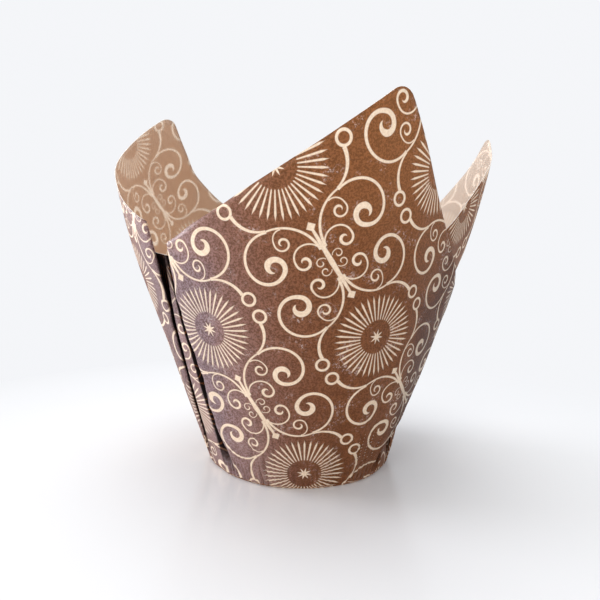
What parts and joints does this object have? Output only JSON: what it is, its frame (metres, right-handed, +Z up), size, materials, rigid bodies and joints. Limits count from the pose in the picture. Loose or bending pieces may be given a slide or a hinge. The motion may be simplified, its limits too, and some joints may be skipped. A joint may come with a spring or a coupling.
{
  "type": "cupcake liner",
  "caption": "Tulip-style paper baking cup folded from one square sheet, with a flat round base, a wide tapered wall, pointed peaks and pleats that take up the slack paper.",
  "frame": {"origin": "middle of the flat round base, on the plane that it rests on", "axes": "+Z up out of the cup's mouth; -Y toward the front, where the tall front peak stands; +X to the right as seen from the front"},
  "size_m": [0.0979, 0.0985, 0.0979],
  "materials": {
    "printed_paper": "matt greaseproof paper, printed dark brown with pale scrollwork outside; plain inside, where the print shows through"
  },
  "bodies": {
    "root": {"liner": "printed_paper"}
  },
  "joints": []
}
